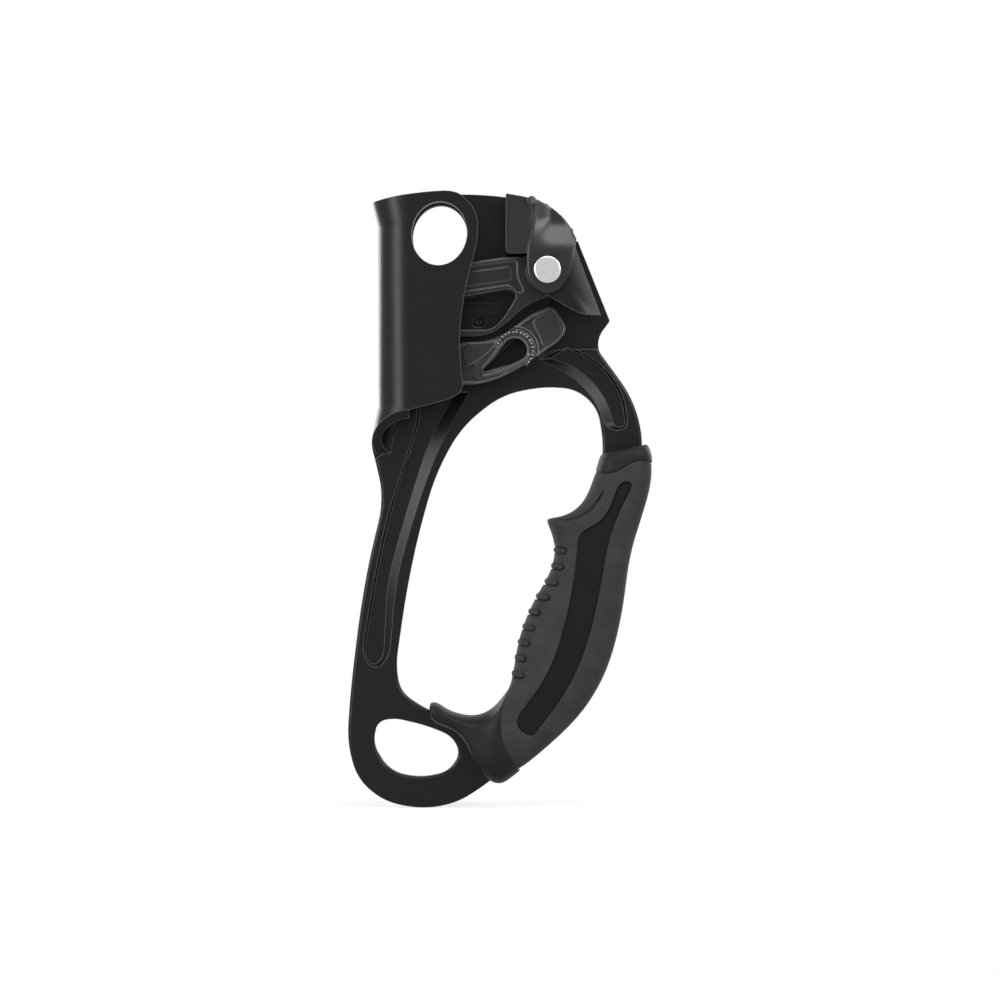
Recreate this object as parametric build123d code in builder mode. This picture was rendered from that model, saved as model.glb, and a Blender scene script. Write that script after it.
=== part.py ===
"""Handled ascender: folded frame, toothed sprung cam with a safety catch, ribbed top cap and moulded grip.

Millimetres. The origin is on the rope's centreline, level with the cam's pivot. +Z is up the rope,
+X points from the rope towards the grip, and the front of the device faces -Y.
"""

import os
from math import cos, radians, sin, tan

from build123d import *

os.makedirs("parts", exist_ok=True)

# Folded frame
rope_space = 14.0  # clear depth of the rope channel
sheet = 3.0  # thickness of the folded sheet
bar_raise = 1.5  # the handle bars stand this far in front of the plate
plate_front = rope_space / 2
plate_back = plate_front + sheet
bar_front = plate_front - bar_raise
flap_back = -plate_front
flap_front = -plate_back
edge_round = 0.7
bar_round = 1.0
channel_top, channel_foot = 14.0, -43.0  # the straight stretch of the channel's round wall
mouth_top, mouth_foot = 26.0, -57.5  # where its flared mouths end, before they are trimmed
flare = 3.0  # the mouths open out by this much
groove_floor = plate_front + 0.1

# Cam and its pivot
pivot_x = 43.5  # distance from the rope's centreline to the cam's pivot
fit = 0.03  # static clearance on a radius
run = 0.06  # running clearance on a radius
rivet_r = 3.0
rivet_head_r = 4.35
bushing_r = 4.0
washer_r = 6.4
washer_t = 0.5
hub_r = 6.5
hub_front, hub_back = -6.4, 2.9
cam_front, cam_back = -6.2, 5.0
cam_step = -1.2  # below the band, the cam lies behind this depth and the catch in front of it
tooth_start, tooth_end, tooth_upper_end = -2, 42, 30  # degrees below level, seen from the pivot
tooth_pitch = 2.75  # degrees
tooth_depth = 1.3
spring_r, spring_wire, spring_pitch = 5.3, 0.9, 1.05
spring_back = plate_front - washer_t - 0.6

# Top cap
cap_front = -11.8
cap_underside = 5.2  # the closed cam stops here
cap_hub_space = 7.6
rivet_head_front = -13.0

# Safety catch
catch_x, catch_z = 12.5, -30.5  # the catch's pivot
catch_front, catch_floor, catch_back = -4.8, -4.2, -1.6
catch_pin_r = 1.5
catch_eye_r = 5.5
catch_coil_r, catch_wire, catch_pitch = 2.5, 0.6, 0.65

# Grip
grip_front, grip_back = -7.0, 17.0
grip_round = 1.4
core_front, core_back = 2.0, 13.5
inlay_front = -6.4
notch_count = 9
notch_width, notch_depth = 1.8, 1.2


def front(y):
    """The plane at depth y seen from the front: its x is X, its y is Z and its normal is -Y."""
    return Plane.XZ.offset(-y)


def smooth_loop(*corners):
    """A closed outline through corners (x, z) or (x, z, radius).

    A corner that states no radius gets the largest arc that its two runs have room for.
    """
    points = [Vector(corner[0], corner[1]) for corner in corners]
    radii = []
    for i, corner in enumerate(corners):
        run_in = points[i] - points[i - 1]
        run_out = points[(i + 1) % len(points)] - points[i]
        room = 0.48 * min(run_in.length, run_out.length)
        half_turn = radians(run_in.get_angle(run_out)) / 2
        radii.append(corner[2] if len(corner) > 2 else room / tan(half_turn))
    with BuildSketch() as face:
        with BuildLine():
            FilletPolyline(*points, radius=radii, close=True)
        make_face()
    return face


def layer(face, y_front, y_back, mode=Mode.ADD):
    """Adds or cuts an outline between two depths of the part being built."""
    with BuildSketch(front(y_back)) as placed:
        add(face.sketch)
    extrude(placed.sketch, amount=y_back - y_front, mode=mode)


def round_bar(x, z, radius, y_front, y_back, mode=Mode.ADD):
    """Adds or cuts a round bar along Y at (x, z) between two depths."""
    with BuildSketch(front(y_back)) as placed:
        with Locations((x, z)):
            Circle(radius)
    extrude(placed.sketch, amount=y_back - y_front, mode=mode)


def rim(part, y):
    """The edges of the flat faces of a part at depth y."""
    return part.faces().filter_by(Axis.Y).filter_by_position(Axis.Y, y - 0.01, y + 0.01).edges()


def slope(rim_face, floor_face, y_rim, y_floor):
    """Cuts a groove whose walls slope from its rim in to its floor."""
    with BuildSketch(front(y_rim)) as wide:
        add(rim_face.sketch)
    with BuildSketch(front(y_floor)) as narrow:
        add(floor_face.sketch)
    loft([wide.sketch.face(), narrow.sketch.face()], ruled=True, mode=Mode.SUBTRACT)


def on_bar_step(point):
    """Whether a point lies on the step from the plate up to the handle bars, which stays sharp."""
    return point.Z > -27 or (point.Z > -63 and point.X < 7) or (point.Z > -36 and point.X < 50)


def nose_point(angle, inset=0.0):
    """A point of the cam's gripping face: its radius grows with the angle, so that it wedges the rope."""
    r = 44.0 + 0.11 * angle - inset
    return (pivot_x - r * cos(radians(angle)), -r * sin(radians(angle)))


def toothed_nose(last_angle, *inner):
    """The gripping face down to an angle, closed through the inner points."""
    teeth = []
    angle = tooth_start
    while angle < last_angle:
        teeth += [nose_point(angle), nose_point(angle + 0.8 * tooth_pitch, tooth_depth)]
        angle += tooth_pitch
    with BuildSketch() as face:
        with BuildLine():
            Polyline(*teeth, *inner, teeth[0])
        make_face()
    return face


def half_ring(z, reach):
    """Section of the channel's round wall at height z, where it reaches out to x = -reach."""
    with BuildSketch(Plane.XY.offset(z)) as ring:
        Ellipse(reach, plate_back)
        Ellipse(reach - sheet, plate_front, mode=Mode.SUBTRACT)
        with Locations((reach, 0)):
            Rectangle(2 * reach, 3 * plate_back, mode=Mode.SUBTRACT)
    return ring.sketch


def coil(x, z, radius, wire, pitch, y_back, turns, leg_back, leg_front):
    """A torsion spring along Y, with one leg into the piece behind it and one into the piece before it."""
    y_front = y_back - pitch * turns
    with BuildLine() as path:
        Helix(pitch=pitch, height=pitch * turns, radius=radius, center=(x, y_back, z), direction=(0, -1, 0))
    start, end = path.line @ 0, path.line @ 1
    with BuildSketch(Plane(origin=start, z_dir=path.line % 0)) as section:
        Circle(wire / 2)
    sweep(section.sketch, path=path.line)
    round_bar(start.X, start.Z, 0.46 * wire, y_back - 0.3 * wire, leg_back)
    round_bar(end.X, end.Z, 0.46 * wire, leg_front, y_front + 0.3 * wire)


# Outlines of the frame, drawn in X and Z
frame_face = smooth_loop(
    (0, -28, 0), (0, 27, 0), (46.7, 27, 0), (63.7, -15.3, 1), (60.2, -20), (59.8, -24.5), (63.5, -29.5),
    (70.4, -39), (74, -50), (73.8, -62), (70.6, -76), (67.4, -89), (65.5, -102), (62.8, -115), (57.6, -129),
    (48.2, -142.5), (34.5, -154.5), (23.7, -163.5), (15, -169), (4.5, -171), (-8, -168.9), (-17, -161.5),
    (-20.2, -149.5), (-19.1, -133), (-16.4, -110.2), (-13.4, -92.4), (-9.4, -76), (-9.2, -68.5),
    (-11.2, -60), (-12.7, -54.2), (-10.6, -46), (-5.2, -37.5),
)
hand_opening = smooth_loop(
    (43, -36.2), (29.7, -38.6), (16.4, -48.8), (7.9, -64.4), (2.2, -84.8), (-1.4, -102.5), (-4.6, -125),
    (-3.2, -133.5), (3.6, -138.4), (13, -142.5), (25, -143.8), (34.2, -138.5), (41, -130.6), (46.6, -121),
    (50.4, -110), (53.3, -97), (55.6, -84), (58.8, -71), (62, -57), (59.8, -43), (53, -37),
)
lower_hole = smooth_loop(
    (-12, -150), (-10.4, -143), (-5, -142), (5, -144.3), (13, -147.6), (16, -152.8), (12.4, -159),
    (3.8, -161), (-6.5, -159.2),
)
raised_zone = smooth_loop(
    (-16, -61, 0), (-9.1, -58.6), (-5, -52.4), (-2.9, -45), (4, -40), (46, -24.5, 5), (80, -24, 0),
    (80, -175, 0), (-30, -175, 0), (-30, -61, 0),
)
flap_face = smooth_loop(
    (0, -44, 0), (0, 30, 0), (8, 30, 0), (9.5, 25.2), (16, 24.6), (21.8, 18), (21.6, 9), (17.4, -6),
    (15.8, -20), (16.2, -30), (17.2, -37.8), (13, -40.6),
)
left_groove_rim = smooth_loop(
    (1.5, -38, 0), (2.6, -45.3), (-1.6, -59.8), (-7.3, -77.2), (-10.7, -92.9), (-13.3, -107.9), (-15.4, -122.1),
    (-11.3, -127), (-6.6, -122.4), (-4.8, -99.5), (-0.9, -84.3), (4.7, -67.2), (9.2, -55.8), (18.6, -38, 0),
)
left_groove_floor = smooth_loop(
    (2.3, -38, 0), (3.4, -45.5), (-1.2, -60), (-6.6, -77.4), (-10, -93), (-12.6, -108), (-14.8, -122),
    (-11.5, -126), (-8.5, -122), (-7.4, -99.1), (-3.4, -83.6), (1.9, -65.9), (5.8, -54), (14.4, -38, 0),
)
arch_groove_rim = smooth_loop(
    (41, -27.6, 0), (47, -30.2), (53, -34.2), (57.8, -39.2), (60.8, -44.6), (62.6, -50), (69.6, -50.4),
    (68.2, -38.4), (61.2, -28.9), (50.2, -23.2, 0),
)
arch_groove_floor = smooth_loop(
    (44.5, -27.2, 0), (51.5, -29.3), (57.6, -34), (61.6, -39), (63.9, -44.5), (65, -49), (68.7, -49.2),
    (67.2, -38.3), (60.4, -29.1), (50, -23.8, 0),
)
cheek_top, cheek_foot = (51.4, 9.7, 0), (60.4, -14.1, 0)
cheek_face = smooth_loop(
    cheek_top, cheek_foot, (54, -14.1), (48, -10.6), (41, -6.6), (37.8, -2), (37.8, 5), (41, 9.7, 0),
)
lip_face = smooth_loop(cheek_top, cheek_foot, (57.2, -14.1, 0), (48.2, 9.7, 0))
fold_face = smooth_loop(cheek_top, (55.37, -0.8, 0), (52.2, -0.8, 0), (48.2, 9.7, 0))
with BuildSketch() as upper_hole:
    with Locations((9.5, 11.5)):
        Ellipse(8.7, 10, rotation=-8)
with BuildSketch() as head_trim:
    with BuildLine():
        ThreePointArc((-18, 20), (9.5, 24.95), (31.7, 24.1))
        ThreePointArc((31.7, 24.1), (44.2, 18.8), (52.8, 10.2))
        Polyline((52.8, 10.2), (70, 10.2), (70, 35), (-18, 35), (-18, 20))
    make_face()
with BuildSketch() as bar_face:
    add(frame_face.sketch)
    add(raised_zone.sketch, mode=Mode.INTERSECT)
with BuildSketch() as loop_face:
    add(frame_face.sketch)
    add(hand_opening.sketch, mode=Mode.SUBTRACT)
    add(lower_hole.sketch, mode=Mode.SUBTRACT)

# Frame: one sheet, folded round the rope on the left and round the cam's hub on the right
with BuildPart() as frame:
    layer(frame_face, plate_front, plate_back)
    layer(bar_face, bar_front, plate_front)
    layer(hand_opening, bar_front, plate_back, Mode.SUBTRACT)
    layer(lower_hole, bar_front, plate_back, Mode.SUBTRACT)
    fillet(rim(frame, plate_back).filter_by(lambda e: e.center().X > 0.1 or e.center().Z < -60), edge_round)
    fillet(rim(frame, bar_front).filter_by(lambda e: not on_bar_step(e.center())), bar_round)
    slope(left_groove_rim, left_groove_floor, bar_front, groove_floor)
    slope(arch_groove_rim, arch_groove_floor, bar_front, groove_floor)
    # The rope channel: a round wall with flared mouths, and the flap in front of the rope
    extrude(half_ring(channel_foot, plate_back), amount=channel_top - channel_foot)
    loft([half_ring(channel_top, plate_back), half_ring(mouth_top, plate_back + flare)])
    loft([half_ring(mouth_foot, plate_back + flare), half_ring(channel_foot, plate_back)])
    with BuildSketch(Plane.YZ) as wall_end:
        with BuildLine():
            Polyline((flap_front, -44), (bar_front, -57.5), (bar_front, -75), (-30, -75), (-30, -44),
                     (flap_front, -44))
        make_face()
    extrude(wall_end.sketch, amount=-2 * plate_back, mode=Mode.SUBTRACT)
    layer(flap_face, flap_front, flap_back)
    # The fold on the other side, the cheek in front of the hub and the lip along its edge
    layer(cheek_face, flap_front, flap_back)
    layer(lip_face, flap_back, -5.3)
    layer(fold_face, -5.3, plate_front)
    layer(head_trim, flap_front - 1, plate_back + 1, Mode.SUBTRACT)
    layer(upper_hole, flap_front, plate_back, Mode.SUBTRACT)
    round_bar(pivot_x, 0, rivet_r + fit, flap_front, plate_back, Mode.SUBTRACT)
    round_bar(pivot_x, -spring_r, spring_wire / 2 + 0.15, plate_front, plate_front + 1.8, Mode.SUBTRACT)
frame.part.label = "frame"
export_step(frame.part, "parts/frame.step")

# Top cap: a ribbed moulding that fills the head above the hub; its lobe lies under the rivet's head
cap_block_face = smooth_loop(
    (30.4, 24.2, 0.5), (30.4, cap_underside, 1.5), (48, cap_underside, 0), (48.2, 9.7, 0), (52, 9.9, 1),
    (49.8, 14.8), (45.2, 19.4), (38.5, 22.8),
)
cap_skin_face = smooth_loop(
    (38.4, 23.2, 1), (40, 18.5), (36.7, 5), (37.2, -3), (41, -7.6), (46.5, -7.4), (50.4, -2.5), (52.7, 9.7, 0.5),
    (50.2, 14.9), (45.4, 19.7),
)
with BuildSketch() as above_cheek:
    with Locations((45, 25)):
        Rectangle(60, 2 * (25 - 9.7))
with BuildPart() as top_grip:
    layer(cap_block_face, flap_back, plate_front)
    round_bar(pivot_x, 0, cap_hub_space, flap_back, plate_front, Mode.SUBTRACT)
    with BuildSketch() as cap_upper_face:
        add(cap_block_face.sketch)
        with Locations((47.8, 5)):
            Rectangle(20, 9.4, mode=Mode.SUBTRACT)
    layer(cap_upper_face, flap_front, flap_back)
    layer(cap_skin_face, cap_front, flap_front)
    fillet(rim(top_grip, cap_front), 0.8)
    for x, z in ((38.6, 22.0), (42.9, 19.7), (47.0, 16.4), (50.4, 12.2)):
        round_bar(x, z, 1.3, cap_front + 0.4, plate_front)
    round_bar(pivot_x, 0, rivet_r + fit, cap_front, flap_front, Mode.SUBTRACT)
top_grip.part.label = "top_grip"
export_step(top_grip.part, "parts/top_grip.step")

# The cam's pivot: a shouldered rivet through cap, cheek and plate, with a bushing that holds the sheet apart
with BuildPart() as cam_rivet:
    round_bar(pivot_x, 0, rivet_r, cap_front, plate_back + 1)
    round_bar(pivot_x, 0, rivet_head_r, rivet_head_front, cap_front)
    fillet(rim(cam_rivet, rivet_head_front), 0.6)
    round_bar(pivot_x, 0, rivet_head_r, plate_back + 1, plate_back + 2.2)
    fillet(rim(cam_rivet, plate_back + 2.2), 0.8)
cam_rivet.part.label = "cam_rivet"
export_step(cam_rivet.part, "parts/cam_rivet.step")

with BuildPart() as rivet_washer:
    round_bar(pivot_x, 0, 5.6, plate_back, plate_back + 1)
    round_bar(pivot_x, 0, rivet_r + fit, plate_back, plate_back + 1, Mode.SUBTRACT)
rivet_washer.part.label = "rivet_washer"
export_step(rivet_washer.part, "parts/rivet_washer.step")

with BuildPart() as cam_bushing:
    round_bar(pivot_x, 0, bushing_r, flap_back, plate_front)
    round_bar(pivot_x, 0, rivet_r + fit, flap_back, plate_front, Mode.SUBTRACT)
cam_bushing.part.label = "cam_bushing"
export_step(cam_bushing.part, "parts/cam_bushing.step")

with BuildPart() as front_washer:
    round_bar(pivot_x, 0, washer_r, flap_back, flap_back + washer_t)
    round_bar(pivot_x, 0, bushing_r + fit, flap_back, flap_back + washer_t, Mode.SUBTRACT)
front_washer.part.label = "front_washer"
export_step(front_washer.part, "parts/front_washer.step")

with BuildPart() as rear_washer:
    round_bar(pivot_x, 0, washer_r, plate_front - washer_t, plate_front)
    round_bar(pivot_x, 0, bushing_r + fit, plate_front - washer_t, plate_front, Mode.SUBTRACT)
    round_bar(pivot_x, -spring_r, spring_wire / 2 + 0.15, plate_front - 1, plate_front, Mode.SUBTRACT)
rear_washer.part.label = "rear_washer"
export_step(rear_washer.part, "parts/rear_washer.step")

# Cam: the front layer carries the panel and the band, and the rest reaches down behind the catch
cam_upper_face = smooth_loop(
    (3, 1, 0), (20.4, 2.9), (36.6, 4.7), (43.5, 6.0), (47, 0), (45, -8), (38.7, -10.3), (34.9, -12.9),
    (31, -16.6), (27, -19.6), (22, -21), (16, -20.8), (9, -23.2), (4, -23.8, 0),
)
cam_lower_face = smooth_loop(
    (3, 1, 0), (20.4, 2.9), (36.6, 4.7), (43.5, 6.0), (47, 0), (45.5, -8), (40, -14.5), (33, -21.8),
    (25, -30), (18, -36), (12, -37.2), (8, -34, 0), (4, -23.8, 0),
)
window_face = smooth_loop((13, -9, 1), (31.6, -5.7), (34.2, -7.6), (30, -14.8), (26, -18.7), (13, -18.7, 1))
panel_face = smooth_loop(
    (13, 0.6, 0.5), (34, 3.2, 0.8), (34, -1.4), (35.2, -4.6), (36.4, -6.6), (34.4, -7.2), (31.9, -4.4),
    (13, -7.2, 0.5),
)
plate_face = smooth_loop((14, -1.2, 0.5), (32, 1.4, 0.5), (32.3, -2.9, 0.8), (14, -5.6, 0.5))
recess_face = smooth_loop((19.6, -17.6), (20.2, -14.4), (23.4, -14.4), (24, -17.6))
with BuildPart() as cam:
    layer(cam_upper_face, cam_front, cam_step)
    layer(cam_lower_face, cam_step, cam_back)
    fillet(rim(cam, cam_front).filter_by(lambda e: e.center().X > 12), 0.5)
    layer(toothed_nose(tooth_upper_end, (10, -22), (10, 1.4)), cam_front, cam_step)
    layer(toothed_nose(tooth_end, (12, -32), (10, 1.4)), cam_step, cam_back)
    round_bar(pivot_x, 0, hub_r, hub_front, hub_back)
    layer(panel_face, cam_front, cam_front + 0.6, Mode.SUBTRACT)
    layer(plate_face, cam_front + 0.2, cam_front + 0.6)
    layer(window_face, cam_front, 0, Mode.SUBTRACT)
    layer(recess_face, 0, 1.2, Mode.SUBTRACT)
    for z in (-9.5, -11.5, -13.5):
        with BuildSketch(front(0)) as bar:
            with Locations((21, z)):
                Rectangle(14, 0.5)
        extrude(bar.sketch, amount=0.4)
    for x in (20.9, 22.7):
        round_bar(x, -16.2, 0.5, 0, 1.2)
    round_bar(pivot_x, 0, hub_r + 0.1, hub_back, cam_back, Mode.SUBTRACT)
    round_bar(pivot_x, 0, bushing_r + run, hub_front, hub_back, Mode.SUBTRACT)
    round_bar(pivot_x, -spring_r, spring_wire / 2 + 0.05, 1.4, hub_back, Mode.SUBTRACT)
    # Seats of the catch's pin and spring
    round_bar(catch_x, catch_z, catch_coil_r + catch_wire, cam_step, 0.9, Mode.SUBTRACT)
    round_bar(catch_x, catch_z, catch_pin_r, cam_step, 3, Mode.SUBTRACT)
    round_bar(catch_x, catch_z - catch_coil_r, catch_wire / 2 + 0.05, 0.9, 2.2, Mode.SUBTRACT)
cam.part.label = "cam"
export_step(cam.part, "parts/cam.step")

with BuildPart() as cam_spring:
    coil(pivot_x, 0, spring_r, spring_wire, spring_pitch, spring_back, 2, plate_front + 1.6, 1.6)
cam_spring.part.label = "cam_spring"
export_step(cam_spring.part, "parts/cam_spring.step")

# Safety catch: a lever on the cam, with a thumb pad and a teardrop slot that lightens it
catch_arm_face = smooth_loop(
    (12.5, -25, 0), (17.1, -22.3), (22.2, -22.6), (28, -21.1), (33.7, -17.3), (38.1, -13.8), (44.9, -10.9),
    (47.3, -13.8), (50, -18.6), (47.2, -22.2), (35, -30.6), (28.6, -33.9), (22.2, -35.8), (12.5, -36, 0),
)
catch_pad_face = smooth_loop(
    (39, -15), (44.6, -12.6), (46.4, -14.2), (48.6, -18.6), (46.8, -21.2), (42, -24.4), (41.4, -21), (39.6, -18),
)
catch_panel_face = smooth_loop((17.1, -23.2), (27.2, -22), (25.6, -25), (21.8, -28.2), (17.1, -30.3))
with BuildSketch() as slot_face:
    with Locations((33.3, -25.1)):
        Circle(3.8)
    with Locations((23.7, -31.4)):
        Circle(0.5)
    make_hull()
with BuildSketch() as slot_band:
    add(slot_face.sketch)
    offset(amount=3)
    add(slot_face.sketch, mode=Mode.SUBTRACT)
with BuildSketch() as catch_rim:
    add(catch_arm_face.sketch)
    offset(catch_arm_face.sketch, amount=-0.8, mode=Mode.SUBTRACT)
with BuildSketch() as raised_face:
    add(catch_pad_face.sketch)
    add(catch_panel_face.sketch)
    add(slot_band.sketch)
    add(catch_rim.sketch)
    add(catch_arm_face.sketch, mode=Mode.INTERSECT)
    with Locations((catch_x, catch_z)):
        Circle(catch_eye_r, mode=Mode.SUBTRACT)
with BuildPart() as safety_catch:
    layer(catch_arm_face, catch_floor, catch_back)
    round_bar(catch_x, catch_z, catch_eye_r, catch_floor, catch_back)
    layer(raised_face, catch_front, catch_floor)
    layer(slot_face, catch_front, catch_back, Mode.SUBTRACT)
    for angle in range(-50, 171, 20):
        with BuildSketch(front(catch_front + 0.1)) as bead:
            with Locations((33.3 + 5.7 * cos(radians(angle)), -25.1 + 5.7 * sin(radians(angle)))):
                Circle(0.6)
        extrude(bead.sketch, amount=0.4, taper=30)
    round_bar(catch_x, catch_z, catch_pin_r + run / 2, catch_floor, catch_back, Mode.SUBTRACT)
    round_bar(catch_x, catch_z - catch_coil_r, catch_wire / 2 + 0.05, catch_back - 1, catch_back, Mode.SUBTRACT)
safety_catch.part.label = "safety_catch"
export_step(safety_catch.part, "parts/safety_catch.step")

with BuildPart() as catch_pin:
    round_bar(catch_x, catch_z, catch_pin_r, catch_floor - 0.1, 3)
    round_bar(catch_x, catch_z, 2.6, catch_floor - 1.1, catch_floor - 0.1)
    fillet(rim(catch_pin, catch_floor - 1.1), 0.4)
catch_pin.part.label = "catch_pin"
export_step(catch_pin.part, "parts/catch_pin.step")

with BuildPart() as catch_spring:
    coil(catch_x, catch_z, catch_coil_r, catch_wire, catch_pitch, 0.5, 2, 2.1, catch_back - 0.9)
catch_spring.part.label = "catch_spring"
export_step(catch_spring.part, "parts/catch_spring.step")

# Grip outlines
grip_face = smooth_loop(
    (77, -60.6, 0), (76.9, -67), (73.9, -77.1), (70.7, -87.5), (69, -97.5), (67.6, -107.6), (65.4, -118),
    (61.8, -128.3), (56.3, -138.5), (47.8, -148.7), (34.6, -158.9, 0), (30.2, -150.6), (28.4, -146),
    (29.2, -142.4), (32, -137.5), (31.6, -132.8, 0), (32.9, -128.6), (33.5, -122.5), (35.9, -112.5),
    (40.4, -102.3), (43.9, -97.2), (45.8, -92.2), (46.4, -87), (45, -82), (43.2, -78.2, 1.5), (49.2, -77.3),
    (53.8, -74.8), (56.9, -69.6), (58.9, -63.4, 0), (64.1, -64.5), (68.3, -62.6), (72.6, -61.2),
)
pad_side = smooth_loop(
    (20, -130, 0), (40, -75, 0), (57, -60, 0), (62.2, -70.6), (59, -77), (57.2, -84), (56.4, -98), (53.6, -111.4),
    (50, -123), (42.5, -136), (36, -144, 0), (24, -150, 0), (20, -140, 0),
)
inlay_face = smooth_loop(
    (69.6, -66.4), (65.9, -68), (63.8, -75), (60.7, -79.9), (54.1, -82.6), (54.3, -89), (53, -98.2),
    (50.6, -111.6), (47.3, -122.2), (39.8, -135.8), (34, -141), (34.3, -145.4), (38.5, -148.6), (42, -146.4),
    (46, -139.6), (52.6, -129), (57.4, -116.7), (60.0, -104.7), (61.7, -92.8), (63.8, -81.8), (67, -73), (70.6, -68),
)
guard_face = smooth_loop(
    (6, -136.6, 0.8), (8.7, -136.9), (12.5, -139.6), (20.1, -141.2), (26, -139), (31.6, -132.4, 0.5), (37, -138, 0),
    (36, -157, 0), (33.9, -158.6, 0), (28.8, -163.5, 1), (25.4, -162), (20.9, -158.4), (19, -152.6), (17.4, -148.5),
    (14.2, -145.7), (8, -143.4), (6, -140.2),
)
collar_face = smooth_loop(
    (60.3, -58.3, 1), (69.2, -55.8), (75.6, -54.1), (77.4, -58), (77.2, -66, 0), (58, -66, 0),
)
with BuildLine() as notch_line:
    Spline((48.9, -88.7), (46.2, -98.8), (40.4, -108.3), (37.2, -118), (35.5, -128))
with BuildSketch() as notch_face:
    for i in range(notch_count):
        notch_end = notch_line.line @ (i / (notch_count - 1))
        with Locations((notch_end.X - 4, notch_end.Y + 0.6)):
            SlotOverall(8, notch_width, rotation=-8)
core_face = smooth_loop(
    (75.4, -66, 0), (72.2, -76.3), (69, -89.3), (67.1, -102.3), (64.4, -115.4), (59.2, -129.8), (49.4, -143.8),
    (38.5, -153, 0), (32.5, -146, 0), (32.9, -139.5), (39, -131.6), (44.6, -121.8), (48.4, -110.6),
    (51.3, -97.4), (53.6, -84.4), (57.6, -74), (60.4, -66, 0),
)

# Grip: a hard core on the metal bar, a rubber overmould, a ridged pad for the fingers and two end pieces
with BuildPart() as core_space:
    layer(core_face, core_front, core_back)
    layer(inlay_face, grip_front - 1, core_front)

with BuildPart() as grip_core:
    add(core_space.part)
    layer(inlay_face, grip_front - 1, inlay_front, Mode.SUBTRACT)
    layer(loop_face, bar_front, plate_back, Mode.SUBTRACT)
grip_core.part.label = "grip_core"
export_step(grip_core.part, "parts/grip_core.step")

with BuildPart() as grip_whole:
    layer(grip_face, grip_front, grip_back)
    fillet(rim(grip_whole, grip_front) + rim(grip_whole, grip_back), grip_round)

with BuildPart() as grip_overmould:
    add(grip_whole.part)
    layer(pad_side, grip_front - 1, core_front, Mode.SUBTRACT)
    add(core_space.part, mode=Mode.SUBTRACT)
    layer(loop_face, bar_front, plate_back, Mode.SUBTRACT)
grip_overmould.part.label = "grip_overmould"
export_step(grip_overmould.part, "parts/grip_overmould.step")

with BuildPart() as grip_front_pad:
    add(grip_whole.part)
    layer(pad_side, grip_front - 1, core_front, Mode.INTERSECT)
    add(core_space.part, mode=Mode.SUBTRACT)
    layer(loop_face, bar_front, plate_back, Mode.SUBTRACT)
    layer(notch_face, grip_front, grip_front + notch_depth, Mode.SUBTRACT)
grip_front_pad.part.label = "grip_front_pad"
export_step(grip_front_pad.part, "parts/grip_front_pad.step")

with BuildPart() as grip_upper_collar:
    layer(collar_face, grip_front + 0.6, grip_back - 0.6)
    fillet(rim(grip_upper_collar, grip_front + 0.6) + rim(grip_upper_collar, grip_back - 0.6), 1.5)
    layer(grip_face, grip_front, grip_back, Mode.SUBTRACT)
    layer(loop_face, bar_front, plate_back, Mode.SUBTRACT)
grip_upper_collar.part.label = "grip_upper_collar"
export_step(grip_upper_collar.part, "parts/grip_upper_collar.step")

with BuildPart() as finger_guard:
    layer(guard_face, grip_front + 1, grip_back - 2)
    fillet(rim(finger_guard, grip_front + 1) + rim(finger_guard, grip_back - 2), 1.0)
    layer(grip_face, grip_front, grip_back, Mode.SUBTRACT)
    layer(loop_face, bar_front, plate_back, Mode.SUBTRACT)
finger_guard.part.label = "finger_guard"
export_step(finger_guard.part, "parts/finger_guard.step")
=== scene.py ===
"""Looks of a handled ascender: satin black folded frame, cast cam and catch, moulded cap and rubber grip.

The frame of the construction is kept: +Z up the rope, the front faces -Y, and the origin is on the rope's
centreline, level with the cam's pivot. Blender works in metres. The named places and sizes below are in mm,
and MM turns them into metres, unless they say otherwise.
"""

import math

import bmesh
import bpy
from mathutils import Matrix, Vector
from mathutils.bvhtree import BVHTree
from mathutils.interpolate import poly_3d_calc


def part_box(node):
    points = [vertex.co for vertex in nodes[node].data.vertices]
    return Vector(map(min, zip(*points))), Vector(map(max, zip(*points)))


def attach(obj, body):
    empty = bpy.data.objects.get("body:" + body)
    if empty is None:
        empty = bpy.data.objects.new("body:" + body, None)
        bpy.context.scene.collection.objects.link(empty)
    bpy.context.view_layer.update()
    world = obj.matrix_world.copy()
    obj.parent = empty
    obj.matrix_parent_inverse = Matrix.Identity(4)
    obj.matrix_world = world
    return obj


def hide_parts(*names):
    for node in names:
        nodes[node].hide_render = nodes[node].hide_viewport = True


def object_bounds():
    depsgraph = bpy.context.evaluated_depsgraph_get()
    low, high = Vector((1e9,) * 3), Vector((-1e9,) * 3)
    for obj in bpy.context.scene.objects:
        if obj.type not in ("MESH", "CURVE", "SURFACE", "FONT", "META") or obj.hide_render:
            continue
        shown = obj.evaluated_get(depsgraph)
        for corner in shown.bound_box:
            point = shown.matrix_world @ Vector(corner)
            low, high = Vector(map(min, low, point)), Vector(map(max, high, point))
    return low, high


MM = 0.001

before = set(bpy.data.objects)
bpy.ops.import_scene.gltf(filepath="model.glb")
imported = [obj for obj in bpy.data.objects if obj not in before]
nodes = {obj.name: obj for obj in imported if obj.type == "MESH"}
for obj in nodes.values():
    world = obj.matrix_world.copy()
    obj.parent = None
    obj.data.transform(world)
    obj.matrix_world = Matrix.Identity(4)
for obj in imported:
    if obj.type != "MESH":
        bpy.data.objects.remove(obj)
cad_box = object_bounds()
low, high = cad_box


def middle_of(node):
    """The middle of a node's box, in metres."""
    node_low, node_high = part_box(node)
    return (node_low + node_high) / 2


PIVOT = middle_of("cam_rivet")
CAM_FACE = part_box("cam")[0].y / MM


# Shader building

BEVEL_SAMPLES = 6
WHITE = (1, 1, 1, 1)


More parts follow.
